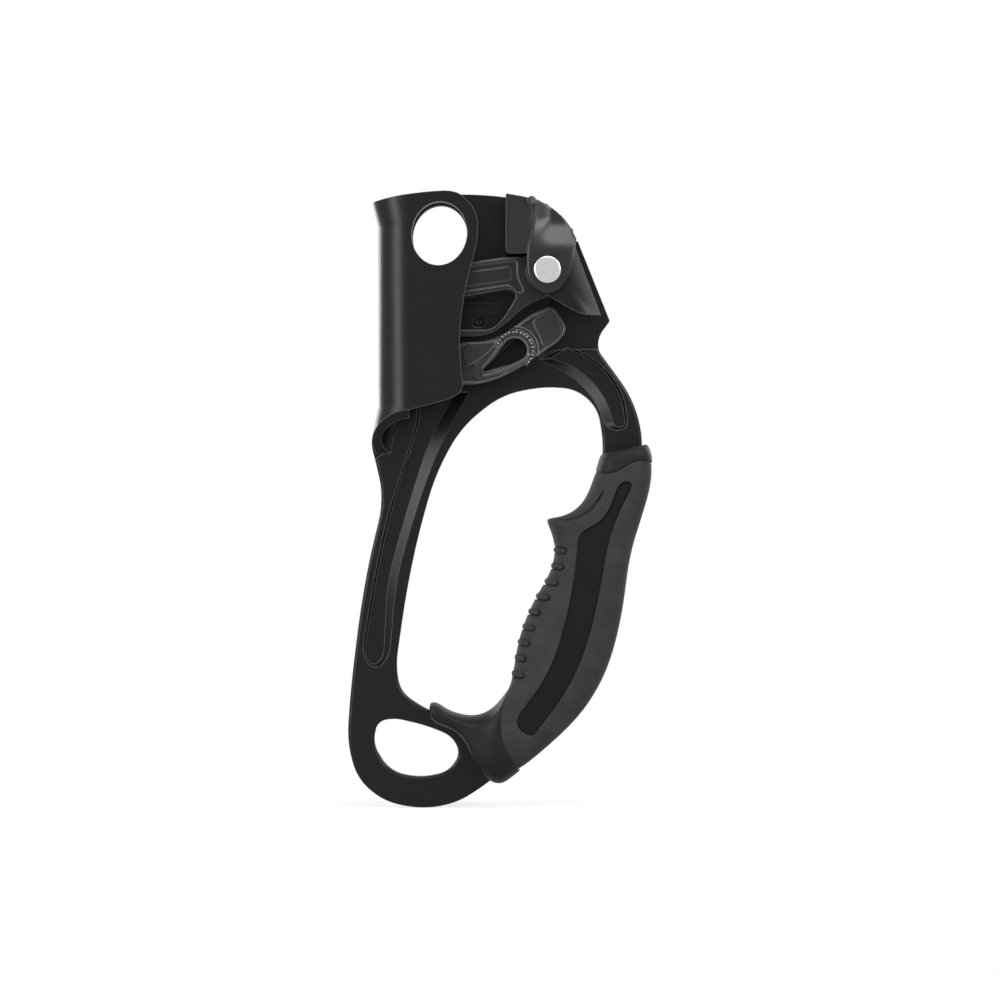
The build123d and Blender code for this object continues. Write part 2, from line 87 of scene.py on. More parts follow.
class Value:
    """A socket that takes part in arithmetic: each operator adds its Math node."""

    def __init__(self, recipe, socket):
        self.recipe, self.socket = recipe, socket

    def _math(self, operation, *terms, clamp=False):
        return self.recipe.node("ShaderNodeMath", {"operation": operation, "use_clamp": clamp}, *terms)

    def __add__(self, other):
        return self._math("ADD", self, other)

    def __mul__(self, other):
        return self._math("MULTIPLY", self, other)

    def __rsub__(self, other):
        return self._math("SUBTRACT", other, self)

    __radd__, __rmul__ = __add__, __mul__

    def clamped(self):
        """The value kept between 0 and 1."""
        return self._math("MULTIPLY", self, 1.0, clamp=True)

    def step(self, low_edge, high_edge):
        """0 below the low edge and 1 above the high edge, and smooth between them."""
        settings = {"interpolation_type": "SMOOTHSTEP"}
        return self.recipe.node("ShaderNodeMapRange", settings, self, low_edge, high_edge, 0.0, 1.0)


class Recipe:
    """The node tree of one material, or of the world."""

    def __init__(self, name, kind="Material"):
        self.owner = {"Material": bpy.data.materials, "World": bpy.data.worlds}[kind].new(name)
        self.owner.use_nodes = True
        self.tree = self.owner.node_tree
        self.tree.nodes.clear()
        self.output = self.tree.nodes.new("ShaderNodeOutput" + kind)
        self._place = None

    def node(self, kind, settings, *values, output=0, **named):
        """Adds a node: its settings come first, then the values or links of its sockets."""
        made = self.tree.nodes.new(kind)
        for key, value in settings.items():
            setattr(made, key, value)
        for socket, value in zip([s for s in made.inputs if s.enabled], values):
            self._feed(socket, value)
        for key, value in named.items():
            self._feed(made.inputs[key.replace("_", " ")], value)
        return Value(self, made.outputs[output])

    def _feed(self, socket, value):
        if isinstance(value, Value):
            self.tree.links.new(value.socket, socket)
        elif value is not None:
            socket.default_value = value

    @property
    def place(self):
        """The piece's own coordinates, in metres."""
        if self._place is None:
            self._place = self.node("ShaderNodeTexCoord", {}, output="Object")
        return self._place

    def noise(self, scale, detail=2.0, roughness=0.5, where=None):
        """Noise with features about 1/scale metres across."""
        return self.node("ShaderNodeTexNoise", {}, output="Fac", Vector=where or self.place, Scale=scale,
                         Detail=detail, Roughness=roughness)

    def vector_math(self, operation, first, second=None, output="Vector"):
        """One Vector Math node."""
        return self.node("ShaderNodeVectorMath", {"operation": operation}, first, second, output=output)

    def tint(self, factor, *ends):
        """A mix of two colours, each of which is a colour or the output of a node."""
        colours = [end if isinstance(end, Value) else (*end, 1) for end in ends]
        return self.node("ShaderNodeMix", {"data_type": "RGBA"}, factor, *colours, output=2)

    def rounded(self, radius):
        """The normal of the surface with its edges rounded off, by a radius in metres."""
        return self.node("ShaderNodeBevel", {"samples": BEVEL_SAMPLES}, radius)

    def worn_and_highlit(self, width, strength, least, scale, detail=2.0):
        """A patchy mask of the edges, up to a width in metres: partly wear where handling has rubbed them, and
        partly a painted highlight along them.
        """
        plain = self.node("ShaderNodeNewGeometry", {}, output="Normal")
        alike = self.vector_math("DOT_PRODUCT", self.rounded(width), plain, output="Value")
        return ((1 - alike) * strength * (least + self.noise(scale, detail))).clamped()

    def grained(self, grain, depth, strength, rounding):
        """A normal with a grain of a depth in metres, and with rounded edges."""
        return self.node("ShaderNodeBump", {}, Strength=strength, Distance=depth, Height=grain,
                         Normal=self.rounded(rounding))

    def background_rays(self):
        """1 for the rays that see the background: the camera's, and those off metal or through glass."""
        camera, glossy, through = (self.node("ShaderNodeLightPath", {}, output=f"Is {ray} Ray")
                                   for ray in ("Camera", "Glossy", "Transmission"))
        either = self.node("ShaderNodeMath", {"operation": "MAXIMUM"}, camera, glossy)
        return self.node("ShaderNodeMath", {"operation": "MAXIMUM"}, either, through)

    def shown(self, shader):
        """Finishes the tree with a shader."""
        self.tree.links.new(shader.socket, self.output.inputs["Surface"])
        return self.owner

    def surface(self, colour, roughness, normal, **uniform):
        """Finishes the material with one Principled shader."""
        return self.shown(self.node("ShaderNodeBsdfPrincipled", {}, Base_Color=colour, Roughness=roughness,
                                    Normal=normal, **uniform))


def grey(level, warm=0.0):
    """A near-grey linear colour."""
    return (level * (1 + warm), level, level * (1 - warm))


# Finishes

CAM_RECESS = 1.2  # how far behind the cam's face the painted shade of its recess is full
SHADE_FADE = 0.3  # over how much the painted shade grows


def anodised_black():
    """Satin black anodising: fine etched grain, faint handling marks, and pale edges that are partly rubbed wear
    and partly a painted highlight.
    """
    m = Recipe("anodised_black")
    grain = m.noise(9000, detail=3)
    cloud = m.noise(60, detail=3)
    # pale edges: partly rubbed wear and partly a painted highlight along them
    worn_and_highlit = m.worn_and_highlit(0.35 * MM, strength=13, least=0.35, scale=350, detail=3)
    colour = m.tint(worn_and_highlit, grey(0.0035), grey(0.08))
    normal = m.grained(grain, depth=0.006 * MM, strength=0.5, rounding=0.25 * MM)
    return m.surface(colour, 0.26 + 0.08 * cloud + 0.05 * grain, normal, Specular_IOR_Level=0.15)


def cast_steel(name, level, recess=None):
    """Investment-cast steel, blackened: speckled and softly shining, pale at its edges with rubbed wear and a
    painted highlight, and darkened by painted shade in a recess.

    The recess is the y, in mm, at which its floor lies.
    """
    m = Recipe(name)
    speckle = m.noise(4200, detail=3, roughness=0.6)
    cloud = m.noise(180)
    # pale edges: partly rubbed wear and partly a painted highlight along them
    worn_and_highlit = m.worn_and_highlit(0.8 * MM, strength=2.5, least=0.4, scale=500)
    colour = m.tint(speckle.step(0.42, 0.68), grey(level), grey(level * 2.2))
    metal = 0.5
    if recess is not None:
        # Painted shade: behind the recess's y the colour darkens, and the steel turns more metallic and less pale
        # at its edges
        depth = m.node("ShaderNodeSeparateXYZ", {}, m.place, output="Y")
        recess_shade = depth.step((recess - SHADE_FADE) * MM, recess * MM)
        colour = m.tint(recess_shade, colour, grey(0.009))
        metal = metal + 0.35 * recess_shade
        worn_and_highlit = worn_and_highlit * (1 - 0.4 * recess_shade)
    colour = m.tint(worn_and_highlit, colour, grey(0.13))
    normal = m.grained(speckle, depth=0.03 * MM, strength=0.6, rounding=0.6 * MM)
    return m.surface(colour, 0.34 + 0.12 * cloud, normal, Metallic=metal, Specular_IOR_Level=0.3)


def turned_steel(name, centre, level):
    """Bright steel turned on a lathe: rings round its own axis."""
    m = Recipe(name)
    apart = m.vector_math("SUBTRACT", m.place, tuple(centre))
    radius = m.vector_math("LENGTH", m.vector_math("MULTIPLY", apart, (1, 0, 1)), output="Value")
    rings = m.noise(14000, where=m.node("ShaderNodeCombineXYZ", {}, radius, 0.0, 0.0))
    colour = m.tint(m.noise(900), grey(level * 0.86, 0.01), grey(level, 0.01))
    normal = m.grained(rings, depth=0.004 * MM, strength=0.6, rounding=0.3 * MM)
    return m.surface(colour, 0.22 + 0.12 * rings, normal, Metallic=1.0)


def moulded_plastic(name, level, roughness):
    """Moulded nylon with a fine spark-eroded grain."""
    m = Recipe(name)
    grain = m.noise(3500, detail=3, roughness=0.6)
    # pale edges: partly rubbed wear and partly a painted highlight along them
    worn_and_highlit = m.worn_and_highlit(0.4 * MM, strength=4, least=0.2, scale=400)
    colour = m.tint(worn_and_highlit, grey(level), grey(level * 2.6))
    normal = m.grained(grain, depth=0.02 * MM, strength=0.5, rounding=0.4 * MM)
    return m.surface(colour, roughness + 0.12 * m.noise(90), normal, Specular_IOR_Level=0.12)


def cap_satin():
    """Moulded nylon with a satin sheen."""
    m = Recipe("cap_satin")
    grain = m.noise(5200, detail=3, roughness=0.6)
    # pale edges: partly rubbed wear and partly a painted highlight along them
    worn_and_highlit = m.worn_and_highlit(0.4 * MM, strength=5, least=0.3, scale=400)
    colour = m.tint(worn_and_highlit, grey(0.004), grey(0.06))
    normal = m.grained(grain, depth=0.012 * MM, strength=0.5, rounding=0.4 * MM)
    return m.surface(colour, 0.27 + 0.1 * m.noise(120), normal, Specular_IOR_Level=0.3)


def matt_rubber(name, level):
    """Soft overmoulded rubber: matt, with a fine stipple and faint pale dust."""
    m = Recipe(name)
    stipple = m.noise(2200, detail=4, roughness=0.65)
    dust = m.noise(140, detail=4, roughness=0.6).step(0.35, 0.75)
    colour = m.tint(dust, grey(level), grey(level * 1.35))
    normal = m.grained(stipple, depth=0.035 * MM, strength=0.6, rounding=0.5 * MM)
    return m.surface(colour, 0.68 + 0.14 * stipple, normal, Specular_IOR_Level=0.11)


def mechanism():
    """Finishes the cam, the catch and their fittings, which keep the shapes of the construction."""
    pin_centre = middle_of("catch_pin")
    steel = turned_steel("turned_steel", PIVOT, 0.56)
    finishes = {
        "cam_rivet": steel,
        "rivet_washer": steel,
        "cam_bushing": turned_steel("bronze_sleeve", PIVOT, 0.4),
        "front_washer": steel,
        "rear_washer": steel,
        # the cam's recess is darkened with painted shade
        "cam": cast_steel("cast_cam", 0.007, CAM_FACE + CAM_RECESS),
        "cam_spring": turned_steel("spring_wire", PIVOT, 0.5),
        "safety_catch": cast_steel("cast_catch", 0.011),
        "catch_pin": turned_steel("pin_steel", pin_centre, 0.5),
        "catch_spring": turned_steel("fine_wire", pin_centre, 0.5),
    }
    for name, material in finishes.items():
        node = nodes[name]
        node.data.materials.clear()
        node.data.materials.append(material)


# Making pieces

CORD_SIDES = 10
CORD_END_OUT, CORD_END_SHARE = 0.8, 0.55  # the reach and the last ring of a round end, as shares of its radius


def object_of(name, mesh, material=None):
    """A smooth-shaded object of a mesh."""
    mesh.polygons.foreach_set("use_smooth", [True] * len(mesh.polygons))
    piece = bpy.data.objects.new(name, mesh)
    bpy.context.scene.collection.objects.link(piece)
    if material:
        mesh.materials.append(material)
    return piece


def fresh_piece(name, bm, material=None):
    """An object of a finished bmesh."""
    bmesh.ops.recalc_face_normals(bm, faces=bm.faces[:])
    mesh = bpy.data.meshes.new(name)
    bm.to_mesh(mesh)
    bm.free()
    return object_of(name, mesh, material)


def applied(piece):
    """The piece with its modifiers made part of its mesh."""
    graph = bpy.context.evaluated_depsgraph_get()
    mesh = bpy.data.meshes.new_from_object(piece.evaluated_get(graph))
    piece.modifiers.clear()
    old, piece.data = piece.data, mesh
    bpy.data.meshes.remove(old)
    return piece


def subdivided(piece):
    """The piece rounded by two levels of subdivision."""
    rounding = piece.modifiers.new("rounding", "SUBSURF")
    rounding.levels = rounding.render_levels = 2
    return applied(piece)


def drawn_out(bm, ring):
    """Extrudes a ring of vertices, and gives the new ring in the same order."""
    order = {v: i for i, v in enumerate(ring)}

    def place(v):
        return next(order[e.other_vert(v)] for e in v.link_edges if e.other_vert(v) in order)

    edges = [e for e in bm.edges if all(v in order for v in e.verts)]
    made = bmesh.ops.extrude_edge_only(bm, edges=edges)["geom"]
    return sorted((g for g in made if isinstance(g, bmesh.types.BMVert)), key=place)


def round_cord(name, points, radii):
    """A bar with round ends along points in metres, whose radius may change."""
    bm = bmesh.new()
    ring = bmesh.ops.create_circle(bm, segments=CORD_SIDES, radius=1)["verts"]
    points = [Vector(p) for p in points]
    first, last = (points[1] - points[0]).normalized(), (points[-1] - points[-2]).normalized()
    stations = [(points[0] - first * radii[0] * CORD_END_OUT, radii[0] * CORD_END_SHARE)]
    stations += list(zip(points, radii))
    stations += [(points[-1] + last * radii[-1] * CORD_END_OUT, radii[-1] * CORD_END_SHARE)]
    side = None
    for count, (centre, radius) in enumerate(stations):
        before = stations[max(count - 1, 0)][0]
        after = stations[min(count + 1, len(stations) - 1)][0]
        along = (after - before).normalized()
        side = along.orthogonal() if side is None else side - along * side.dot(along)
        side.normalize()
        up = along.cross(side)
        if count:
            ring = drawn_out(bm, ring)
        for i, v in enumerate(ring):
            turn = 2 * math.pi * i / CORD_SIDES
            v.co = centre + (side * math.cos(turn) + up * math.sin(turn)) * radius
    bmesh.ops.holes_fill(bm, edges=[e for e in bm.edges if e.is_boundary])
    return fresh_piece(name, bm)


def joined(name, pieces, material=None):
    """One object of several."""
    bm = bmesh.new()
    for piece in pieces:
        bm.from_mesh(piece.data)
        bpy.data.objects.remove(piece)
    return fresh_piece(name, bm, material)


def cut(piece, cutter):
    """Takes the cutter's shape out of the piece."""
    carving = piece.modifiers.new("carving", "BOOLEAN")
    carving.operation, carving.solver, carving.object = "DIFFERENCE", "EXACT", cutter
    applied(piece)
    bpy.data.objects.remove(cutter)


def surface_tree(mesh):
    """A mesh's faces, ready to be asked for their nearest point or for a ray's hit."""
    return BVHTree.FromPolygons([v.co.copy() for v in mesh.vertices], [list(p.vertices) for p in mesh.polygons])


# The head: the cap with its rounded lobe, and the frame with the roll of its right-hand fold

CAP_FRONT, CAP_BEND_BACK = -11.8, -7.0  # y of the cap's front, and of where its lean starts
CAP_LEAN, CAP_LEAN_LEAST = 4.0, 0.25  # the most that it leans back, and the share of that on its left
CAP_LEAN_UP, CAP_LEAN_ACROSS = (5.0, 17.0), (37.0, 45.5)  # the z and the x between which it grows to its most
FOLD_TOP, FOLD_FOOT = (51.4, 9.7), (60.4, -14.1)  # (x, z) of the line where the right-hand fold turns back
FOLD_FRONT, FOLD_LEFT = -9.2, 37  # the fold's sheet is in front of this y and right of this x
FOLD_OUT = Vector((FOLD_TOP[1] - FOLD_FOOT[1], 0, FOLD_FOOT[0] - FOLD_TOP[0])).normalized()
FOLD_EDGE = FOLD_OUT.dot(Vector((FOLD_TOP[0], 0, FOLD_TOP[1])))
FOLD_REACH, FOLD_ROLL = 6.5, 2.4  # how wide the rolled edge is, and how far back it goes
# Where the surfaces are sliced before they bend: the first plane, the step between planes, and how many
CAP_SLICES_UP, CAP_SLICES_ACROSS = (5.5, 0.75, 25), (36.5, 1.0, 16)
FOLD_SLICES = (FOLD_EDGE - FOLD_REACH, 0.5, 14)
CAP_SPARE, FOLD_SPARE = 0.05, 1  # how much more than the bent surface is sliced
SLOPE_STEP = 0.02  # over which a bend's slope is measured
MERGE, SNAP = 0.0005, 0.0001  # how near points are merged, and how near a plane they count as on it
SAME_PLACE, SAME_WAY = 0.05, 0.9  # how near and how well aligned a copied face and its own triangle are


def merged_copy(node):
    """A bmesh of a carried-over node, with its loose triangles merged."""
    bm = bmesh.new()
    bm.from_mesh(nodes[node].data)
    bmesh.ops.remove_doubles(bm, verts=bm.verts[:], dist=MERGE * MM)
    return bm


def sliced(bm, inside, direction, slices):
    """Cuts the faces that lie wholly in a region by parallel planes, so that they can be bent."""
    normal = Vector(direction).normalized()
    start, step, count = slices
    for i in range(count):
        faces = [f for f in bm.faces if all(inside(v.co / MM) for v in f.verts)]
        edges = dict.fromkeys(e for f in faces for e in f.edges)
        verts = dict.fromkeys(v for f in faces for v in f.verts)
        bmesh.ops.bisect_plane(bm, geom=[*faces, *edges, *verts], dist=SNAP * MM,
                               plane_co=normal * (start + step * i) * MM, plane_no=normal)


def cad_corner_normals(bm, source):
    """The carried-over node's own normal at each corner of each face of its copy."""
    mesh = source.data
    corners = [Vector(n.vector) for n in mesh.corner_normals]
    tree = surface_tree(mesh)
    normals = []
    for face in bm.faces:
        middle = face.calc_center_median()
        near = [hit for hit in tree.find_nearest_range(middle, SAME_PLACE * MM)
                if hit[1].dot(face.normal) > SAME_WAY]
        index = min(near, key=lambda hit: hit[3])[2] if near else tree.find_nearest(middle)[2]
        triangle = mesh.polygons[index]
        places = [mesh.vertices[i].co for i in triangle.vertices]
        for loop in face.loops:
            shares = poly_3d_calc(places, loop.vert.co)
            normal = Vector((0, 0, 0))
            for share, corner in zip(shares, triangle.loop_indices):
                normal += corners[corner] * share
            normals.append(normal.normalized())
    return normals


def slope_of(push, p):
    """How fast a push changes along each axis."""
    steps = (Vector((SLOPE_STEP, 0, 0)), Vector((0, SLOPE_STEP, 0)), Vector((0, 0, SLOPE_STEP)))
    return Vector([(push(p + step) - push(p - step)) / (2 * SLOPE_STEP) for step in steps])


def bent(name, bm, source, push, material):
    """The copy with each point pushed back by push(point) mm, and its normals turned to match."""
    bm.normal_update()
    pushes = {v: push(v.co / MM) for v in bm.verts}
    slopes = {v: slope_of(push, v.co / MM) for v in bm.verts}
    normals = []
    for loop, normal in zip((loop for face in bm.faces for loop in face.loops), cad_corner_normals(bm, source)):
        slope = slopes[loop.vert]
        normals.append((normal - slope * (normal.y / (1 + slope.y))).normalized())
    for v, distance in pushes.items():
        v.co.y += distance * MM
    mesh = bpy.data.meshes.new(name)
    bm.to_mesh(mesh)
    bm.free()
    piece = object_of(name, mesh, material)
    mesh.normals_split_custom_set(normals)
    return piece


def limited(share):
    """A share kept between 0 and 1."""
    return min(max(share, 0.0), 1.0)


def share_of(value, start, end):
    """How far a value is from start to end, eased at both."""
    share = limited((value - start) / (end - start))
    return share * share * (3 - 2 * share)


def on_cap_front(p):
    """Whether a point is on the part of the cap that leans."""
    return p.y < CAP_BEND_BACK + CAP_SPARE


def cap_push(p):
    """How far the cap's front leans back, most at the top of its lobe."""
    depth = limited((CAP_BEND_BACK - p.y) / (CAP_BEND_BACK - CAP_FRONT))
    side = CAP_LEAN_LEAST + (1 - CAP_LEAN_LEAST) * share_of(p.x, *CAP_LEAN_ACROSS)
    return CAP_LEAN * share_of(p.z, *CAP_LEAN_UP) * depth * side


def on_fold(p):
    """Whether a point is on the part of the fold that rolls back."""
    return p.y < FOLD_FRONT and p.x > FOLD_LEFT and FOLD_OUT.dot(p) > FOLD_EDGE - FOLD_REACH - FOLD_SPARE


def fold_push(p):
    """How far the right-hand fold rolls back towards its edge."""
    if p.y > FOLD_FRONT or p.x < FOLD_LEFT:
        return 0.0
    share = limited(1 - (FOLD_EDGE - FOLD_OUT.dot(p)) / FOLD_REACH)
    return FOLD_ROLL * share * share


def head():
    """The cap and the frame, bent into their softer shapes."""
    bm = merged_copy("top_grip")
    sliced(bm, on_cap_front, (0, 0, 1), CAP_SLICES_UP)
    sliced(bm, on_cap_front, (1, 0, 0), CAP_SLICES_ACROSS)
    cap = bent("cap_shell", bm, nodes["top_grip"], cap_push, cap_satin())
    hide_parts("top_grip")
    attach(cap, "frame_body")

    bm = merged_copy("frame")
    sliced(bm, on_fold, FOLD_OUT, FOLD_SLICES)
    shell = bent("folded_frame", bm, nodes["frame"], fold_push, anodised_black())
    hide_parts("frame")
    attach(shell, "frame_body")


# Relief on the catch and the cam: (x, z) along each ridge, and its radii

CATCH_FACE = -4.8
RIDGE_SINK = 0.35  # of its radius
CATCH_RIDGES = (
    (((23.4, -33.1), (28.0, -32.0), (32.5, -30.4), (36.0, -28.5), (38.0, -26.4)), (0.6, 1.1, 1.15, 1.0, 0.5)),
    (((22.9, -30.6), (25.2, -28.2), (27.6, -25.2), (29.2, -22.9)), (0.5, 0.85, 0.85, 0.5)),
    (((34.0, -17.9), (36.4, -15.9), (38.8, -14.3), (41.8, -13.0), (44.4, -12.1)), (0.4, 0.6, 0.75, 0.75, 0.45)),
    (((49.0, -17.9), (48.2, -20.2), (46.0, -22.5), (41.0, -26.0), (35.0, -30.1), (28.6, -33.4), (22.2, -35.3),
      (17.0, -35.6)), (0.2, 0.3, 0.3, 0.3, 0.3, 0.3, 0.3, 0.3)),
    (((16.5, -22.8), (20.5, -23.0), (24.6, -22.7), (28.0, -21.9)), (0.3,) * 4),
    (((28.0, -21.9), (25.6, -25.0), (21.6, -28.4), (17.0, -30.6)), (0.35,) * 4),
)
CAM_RIDGE = (((18.5, 2.0), (24.0, 2.9), (30.0, 3.7), (34.6, 4.1)), (0.45, 0.55, 0.55, 0.4))
# Arcs round the catch's slot: radius, first and last angle in degrees, and how many points
SLOT_CENTRE = (33.3, -25.1)
SLOT_RING, SLOT_BEADS, OUTER_ARC = (4.25, 142, -62, 18), (5.75, 158, -40, 17), (7.5, 90, -12, 11)
RING_R, OUTER_R = 0.42, 0.35  # radii of the ridges along the ring and the outer arc
BEAD_R, BEAD_OUT = 0.5, 0.12  # a bead's radius, and how far in front of the face its middle is


def ridge(name, line, radii, face):
    """A half-sunk rounded ridge on a flat front."""
    points = [Vector((x, face + RIDGE_SINK * radius, z)) * MM for (x, z), radius in zip(line, radii)]
    return round_cord(name, points, [radius * MM for radius in radii])


def arc_line(radius, start, end, count):
    """Points of an arc round the slot's centre."""
    turns = [math.radians(start + (end - start) * i / (count - 1)) for i in range(count)]
    return [(SLOT_CENTRE[0] + radius * math.cos(t), SLOT_CENTRE[1] + radius * math.sin(t)) for t in turns]


def relief():
    """The cast ridges on the catch, with the beads round its slot, and the ridge on top of the cam, all lighter
    than the cast steel for a painted highlight.
    """
    # The ridges are a lighter copy of the cast steel: a painted highlight along them
    ridges_highlit_steel = cast_steel("cast_relief_highlit", 0.03)
    lines = list(CATCH_RIDGES)
    lines += [(arc_line(*arc), [radius] * arc[-1]) for arc, radius in ((SLOT_RING, RING_R), (OUTER_ARC, OUTER_R))]
    parts = [ridge("ridge", line, radii, CATCH_FACE) for line, radii in lines]

    bm = bmesh.new()
    for x, z in arc_line(*SLOT_BEADS):
        bmesh.ops.create_uvsphere(bm, u_segments=10, v_segments=8, radius=BEAD_R * MM,
                                  matrix=Matrix.Translation(Vector((x, CATCH_FACE - BEAD_OUT, z)) * MM))
    # The beads are given a bright steel, far lighter than the catch they are cast with: a painted highlight
    beads = fresh_piece("catch_beads", bm, turned_steel("bead_glint_steel", PIVOT, 0.16))
    ridges = joined("catch_ridges", parts, ridges_highlit_steel)
    for piece in (beads, ridges):
        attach(piece, "catch_body")

    # the cam's ridge is a lighter copy of the cast steel: a painted highlight along it
    cam_ridge_highlit_steel = cast_steel("cam_ridge_highlit", 0.03)
    cam_top = joined("cam_ridge", [ridge("ridge", *CAM_RIDGE, CAM_FACE)], cam_ridge_highlit_steel)
    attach(cam_top, "cam_body")


# The grip. Lines across it go from the finger side to the palm side: (x, z) of both ends, how far each line
# bows to the left, and the depth of its section as a share of the grip's

GRIP_FRONT, GRIP_BACK = -6.95, 16.95
SQUARENESS = 3.2  # of the grip's section, where 2 is an ellipse
RING_POINTS = 32
END_INSET = 0.5  # of the faces that close a moulding
FLAT = 0.01  # how far a point of a flat front may be from its y
COLLAR_ACROSS = (
    ((61.2, -57.7), (75.2, -54.7), 0.0, 0.82),
    ((60.6, -58.2), (75.9, -55.2), 0.0, 0.93),
    ((60.2, -59.2), (76.6, -56.8), 0.2, 0.98),
    ((59.7, -60.8), (77.1, -58.8), 0.4, 1.0),
    ((59.1, -62.9), (77.1, -60.2), 0.7, 1.0),
    ((59.2, -63.3), (77.0, -60.6), 0.7, 0.98),
)
RUBBER_ACROSS = (
    ((60.2, -60.6), (76.4, -58.2), 0.5, 0.92),
    ((59.6, -63.2), (76.5, -60.4), 0.7, 0.94),
    ((59.0, -63.7), (77.0, -61.0), 0.6, 0.99),
    ((57.9, -67.0), (76.8, -66.5), 0.0, 1.0),
    ((56.2, -71.3), (75.6, -71.8), 0.0, 1.0),
    ((53.6, -74.9), (74.3, -76.0), 0.0, 1.0),
    ((49.8, -77.2), (73.3, -79.2), 0.0, 1.0),
    ((46.0, -78.0), (72.6, -81.6), 0.0, 1.0),
    ((43.2, -78.4), (72.0, -83.4), 0.0, 1.0),
    ((43.9, -80.2), (71.4, -85.4), 0.0, 1.0),
    ((45.2, -83.4), (70.7, -88.0), 0.0, 1.0),
    ((46.2, -87.6), (69.9, -91.6), 0.0, 1.0),
    ((45.6, -92.4), (69.1, -96.5), 0.0, 1.0),
    ((43.7, -97.4), (68.5, -101.5), 0.0, 1.0),
    ((40.5, -102.3), (67.7, -107.0), 0.0, 1.0),
    ((38.0, -107.4), (66.6, -112.8), 0.0, 1.0),
    ((35.9, -112.5), (65.1, -119.0), 0.0, 1.0),
    ((34.4, -117.6), (62.8, -126.2), 0.0, 1.0),
    ((33.5, -122.5), (59.2, -133.6), 0.5, 1.0),
    ((32.8, -127.3), (52.4, -143.6), 2.0, 1.0),
    ((31.9, -131.9), (35.6, -157.9), 4.6, 0.99),
    ((31.6, -132.9), (34.2, -157.9), 4.6, 0.93),
    ((29.0, -136.2), (31.0, -159.3), 4.0, 0.88),
)
GUARD_ACROSS = (
    ((31.6, -132.2), (35.0, -158.6), 4.6, 0.96),
    ((31.3, -132.8), (34.4, -159.1), 4.6, 0.985),
    ((28.8, -136.2), (31.6, -161.3), 4.0, 0.96),
    ((26.0, -139.0), (28.6, -163.2), 2.5, 0.93),
    ((22.8, -140.6), (24.6, -161.6), 0.8, 0.9),
    ((20.0, -141.1), (20.8, -157.4), 0.0, 0.86),
    ((17.2, -140.9), (18.6, -151.0), 0.0, 0.82),
    ((14.6, -140.3), (15.9, -147.0), 0.0, 0.8),
    ((11.9, -139.3), (13.0, -145.2), 0.0, 0.8),
    ((9.3, -137.4), (9.6, -144.0), 0.0, 0.8),
    ((7.6, -136.8), (7.4, -143.0), 0.0, 0.78),
    ((6.3, -137.2), (6.1, -141.2), 0.0, 0.7),
)
INLAY_ACROSS = (
    ((67.0, -66.6), (69.9, -66.4)), ((65.5, -68.3), (70.6, -68.0)), ((64.5, -71.4), (69.0, -71.0)),
    ((63.1, -75.0), (67.0, -74.8)), ((61.6, -77.6), (65.7, -78.0)), ((59.2, -79.7), (64.5, -81.0)),
    ((55.8, -81.6), (63.7, -83.6)), ((53.0, -83.2), (63.1, -86.4)), ((52.7, -88.0), (62.3, -90.0)),
    ((51.8, -97.7), (60.8, -98.5)), ((49.2, -111.0), (58.0, -113.0)), ((45.8, -122.0), (54.1, -124.6)),
    ((42.2, -129.4), (49.9, -132.6)), ((38.2, -135.4), (45.8, -138.8)), ((34.4, -139.8), (42.0, -143.6)),
    ((33.6, -142.4), (40.3, -146.2)), ((34.4, -144.8), (38.2, -147.5)),
)
# The pocket and the inlay in it: y of the front and the back, and the width of the rounded edge
POCKET_DEPTHS, INLAY_DEPTHS = (-9.5, -3.6, 0.25), (-6.25, -2.6, 0.35)
CREASE = ((46.4, -78.9), (50, -78.8), (54, -77.8), (57.2, -75.6), (59.5, -72.8), (61.3, -69.8))
CREASE_RADII, CREASE_SINK = (0.3, 0.5, 0.58, 0.58, 0.5, 0.3), 0.32
AHEAD = -20  # a y in front of every piece
# The finger ribs: (x, z) of their front ends, and the sweep of each in degrees, from the front to the back
RIB_ENDS = (
    (48.9, -88.7), (48.0, -93.8), (46.2, -98.8), (43.4, -103.5), (40.4, -108.3), (38.7, -113.1), (37.2, -118.0),
    (36.0, -122.9), (35.5, -128.1),
)
RIB_SWEEP, RIB_POINTS = (7, 173), 27
RIB_CENTRE, RIB_RISE = 1.2, 0.12  # how far right of its end a rib's centre is, and how steeply it climbs
RIB_OUT, RIB_R = -0.72, 1.0  # how far a rib's middle line stands out of the rubber, and its radius
CHANNEL_OUT, CHANNEL_R = 0.45, 1.25  # and the same of the channel that it lies in
# The collar's lower seam: where it starts, how wide it is, how far it rises, and the height and reach of its S
SEAM_START, SEAM_WIDTH, SEAM_RISE, SEAM_WAVE, SEAM_REACH = (59.1, -63.3), 17.9, 2.7, 1.3, 3


def squared(value):
    """A sine or cosine, pushed out towards a square."""
    return math.copysign(abs(value) ** (2 / SQUARENESS), value)


def across(line, angle):
    """A point of the squarish section on one line across the moulding."""
    (inner_x, inner_z), (outer_x, outer_z), bow, depth = line
    u, w = squared(math.cos(angle)), squared(math.sin(angle))
    share = (1 + u) / 2
    x = inner_x + share * (outer_x - inner_x) - bow * (1 - u * u)
    z = inner_z + share * (outer_z - inner_z)
    y = (GRIP_FRONT + GRIP_BACK) / 2 + w * depth * (GRIP_BACK - GRIP_FRONT) / 2
    return Vector((x, y, z)) * MM


